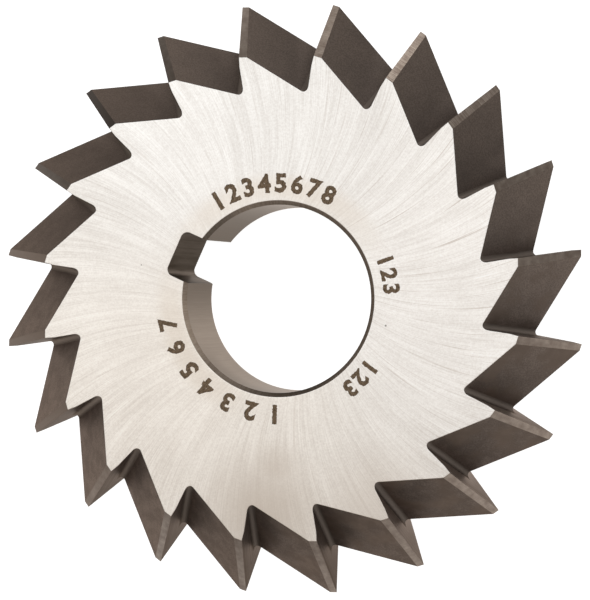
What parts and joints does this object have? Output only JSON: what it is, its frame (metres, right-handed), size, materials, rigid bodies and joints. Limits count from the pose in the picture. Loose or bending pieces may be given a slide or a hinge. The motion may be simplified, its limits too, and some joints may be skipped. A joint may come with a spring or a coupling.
{
  "type": "double angle milling cutter",
  "caption": "Disc-shaped steel milling cutter with a V-shaped toothed rim of ninety degrees, ground flat sides and a keyed bore for an arbor.",
  "frame": {"origin": "on the cutter's axis, level with the ground side face that it lies on", "axes": "+Z along the axis, up through the marked side face; seen from above the cutter cuts anticlockwise"},
  "size_m": [0.1006, 0.1006, 0.0191],
  "materials": {
    "tool_steel": "side faces ground bright with fine curved radial lines; tooth gullets, backs and bore left darker brown-grey"
  },
  "bodies": {
    "root": {"milling_cutter": "tool_steel"}
  },
  "joints": []
}
